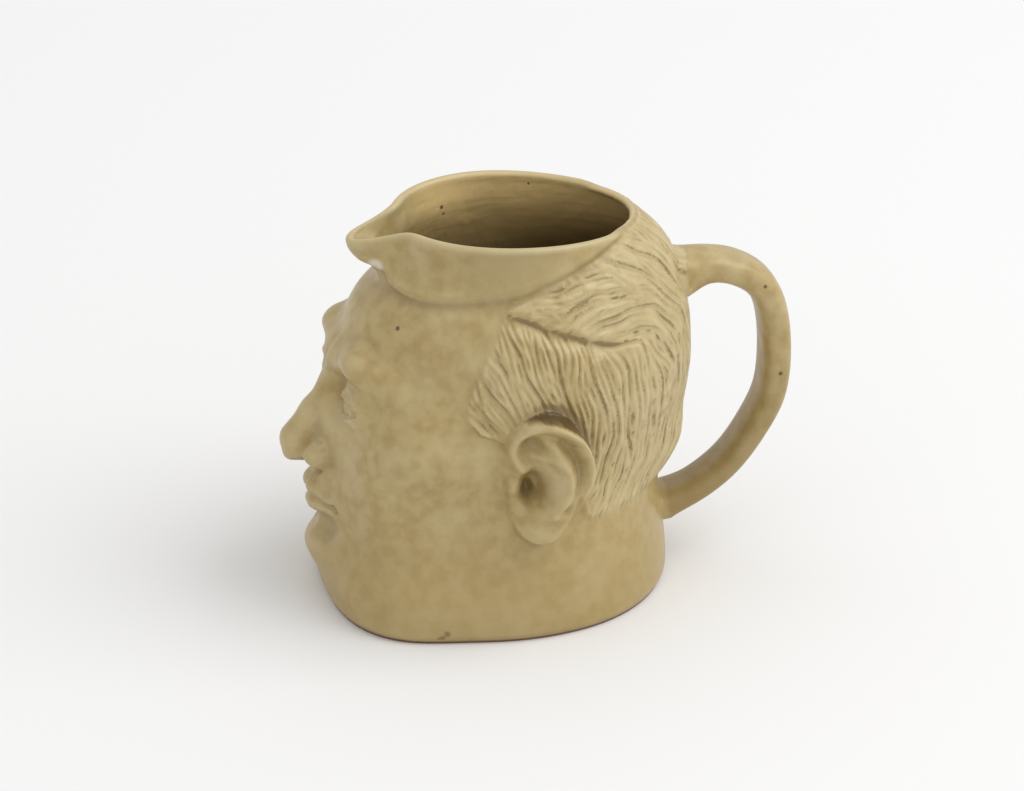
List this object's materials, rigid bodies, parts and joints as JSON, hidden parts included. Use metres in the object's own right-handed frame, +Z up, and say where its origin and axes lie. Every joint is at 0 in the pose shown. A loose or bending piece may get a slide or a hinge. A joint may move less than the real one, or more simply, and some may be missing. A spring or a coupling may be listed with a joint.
{
  "type": "toby jug",
  "caption": "Glazed stoneware jug in the shape of a man's head, open at the crown with a pouring spout over the forehead and a loop handle behind.",
  "frame": {"origin": "centre of the bounding box, on the surface that the jug stands on", "axes": "+Z up; -Y is where the face looks and the spout points; +Y is towards the handle; +X is the head's left"},
  "size_m": [0.1092, 0.1647, 0.1267],
  "materials": {
    "khaki_glaze": "satin"
  },
  "bodies": {
    "root": {"toby_jug": "khaki_glaze"}
  },
  "joints": []
}
